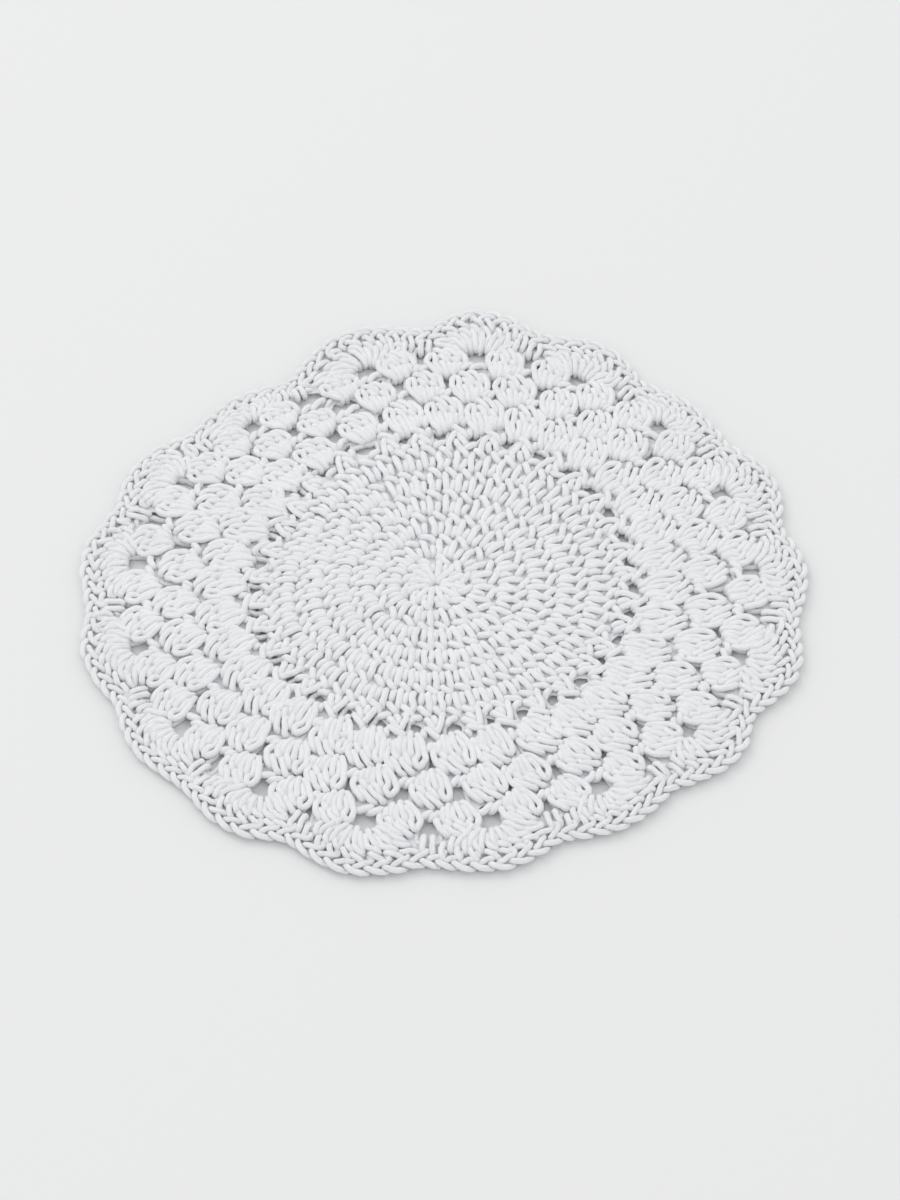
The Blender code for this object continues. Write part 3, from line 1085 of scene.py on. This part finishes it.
def ground_gaps():
    """Every gap in the sheet: angle (degrees), real radius, half width and half depth (m)."""
    gaps = []

    def gap(angle, radius, half_width, half_depth):
        gaps.append((angle, float(uneven(radius * MM, angle)), half_width * MM, half_depth * MM))

    for index, fan in enumerate(FANS):
        next_fan = FANS[(index + 1) % len(FANS)][FAN_ANGLE]
        angle, dip = fan[FAN_ANGLE], fan[DIP_ANGLE]
        width, depth = fan[HOLE_WIDTH] / MM, fan[HOLE_DEPTH] / MM
        gap(angle, HOLE_RADIUS, 0.5 * width + HOLE_MARGIN, 0.5 * depth + HOLE_MARGIN)
        gap(dip, *DIP_GAP)
        for post in (angle, dip):
            gap(post, *LOWER_CLUSTER_GAP)
        for midway in (0.5 * (angle + dip), dip + 0.5 * ((next_fan - dip) % 360.0)):
            gap(midway, *OPENWORK_GAP)
            gap(midway, *UPPER_CLUSTER_GAP)
    for index, (foot, depth, towards_dip, _) in enumerate(CLUSTER_ROUNDS):
        angles = cluster_angles(index % 2 == 1, towards_dip)
        out = foot + 0.5 * depth
        for place, angle in enumerate(angles):
            ahead = (angle - angles[(place + 1) % len(angles)]) % 360.0
            midway = angle - 0.5 * ahead
            spacing = math.radians(ahead) * float(uneven(out * MM, midway)) / MM
            half_width = 0.5 * spacing - CLUSTER_REACH
            if half_width > NARROWEST_GAP:
                gap(midway, out, half_width, GAP_DEPTH_SHARE * depth)
    return gaps


def ground_sheet(material):
    """The mat's flat shape with its gaps, as a thin sheet inside the layer of cord."""
    angles = 360.0 * np.arange(GROUND_COLUMNS) / GROUND_COLUMNS
    shares = np.arange(1, GROUND_RINGS + 1) / GROUND_RINGS
    radii = shares[:, None] * (sampled(OUTLINE, angles) - GROUND_EDGE)[None, :]
    turn = np.broadcast_to(np.radians(angles), radii.shape)
    places = np.stack([radii * np.cos(turn), radii * np.sin(turn)], -1)
    inside = np.zeros(radii.shape, bool)
    for angle, radius, half_width, half_depth in ground_gaps():
        way = np.array((math.cos(math.radians(angle)), math.sin(math.radians(angle))))
        away = places - radius * way
        depth = away @ way
        width = away @ np.array((-way[1], way[0]))
        reach = np.sqrt((width / half_width) ** 2 + (depth / half_depth) ** 2)
        within = reach < 1.0
        share = np.maximum(reach[within], SMALLEST_REACH)[:, None]
        places[within] = radius * way + away[within] / share
        inside |= within
    column_before = np.roll(np.arange(GROUND_COLUMNS), 1)
    corners = np.arange(radii.size).reshape(radii.shape)
    inner, outer = corners[:-1], corners[1:]
    quads = np.stack([inner, outer, outer[:, column_before], inner[:, column_before]], -1)
    quads = quads.reshape(-1, 4)
    quads = quads[~inside.ravel()[quads].all(1)]
    spots = np.column_stack([places.reshape(-1, 2) - MIDDLE, np.full(radii.size, GROUND_HEIGHT)])
    used, numbered = np.unique(quads, return_inverse=True)
    data = bpy.data.meshes.new("mat_ground")
    data.from_pydata(spots[used].tolist(), [], numbered.reshape(-1, 4)[:, ::-1].tolist())
    data.validate()
    data.update()
    data.materials.append(material)
    thing = bpy.data.objects.new("mat_ground", data)
    bpy.context.scene.collection.objects.link(thing)
    return thing


def build():
    """Every piece of the mat."""
    cotton_cord = cotton("cotton_cord", WHITE)
    named = {}
    disc = [start_round()]
    start = 0.0
    for foot, depth, count in DISC_ROUNDS:
        start += ROUND_TURN
        disc.append(disc_round(foot, depth, count, start))
    named["disc_inner"] = disc[:DISC_SPLIT]
    named["disc_outer"] = disc[DISC_SPLIT:]
    named["openwork"] = [linked_round(POSTS, post_angles(), OPENWORK_FOOT, OPENWORK_DEPTH)]
    for index, (foot, depth, towards_dip, gather) in enumerate(CLUSTER_ROUNDS):
        on_posts = index % 2 == 1       # every other round stands over the posts
        angles = cluster_angles(on_posts, towards_dip)
        named[f"clusters_{index + 1}"] = [linked_round(CLUSTERS, angles, foot, depth, gather)]
    named["fans"] = [fan_round()]
    named["edging"] = [edging_round()]
    cords, owners = [], []
    for name, rounds in named.items():
        for points in rounds:
            cords.append(curve_through(points))
            owners.append(name)
    cords = settled(cords)
    pieces = []
    for name in named:
        own = [cord for cord, owner in zip(cords, owners) if owner == name]
        pieces.append(sweep(name, own, cotton_cord))
    # The sheet is a little darker than the cord: painted shade that shows through the pores between
    # the strands.
    ground = ground_sheet(cotton("cotton_inside_painted_shade", INSIDE_PAINTED_SHADE))
    for piece in [ground, *pieces]:
        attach(piece, "root")
    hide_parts("mat")


build()
add_floor()
add_light()
add_camera()
bpy.context.scene.view_settings.view_transform = "Standard"
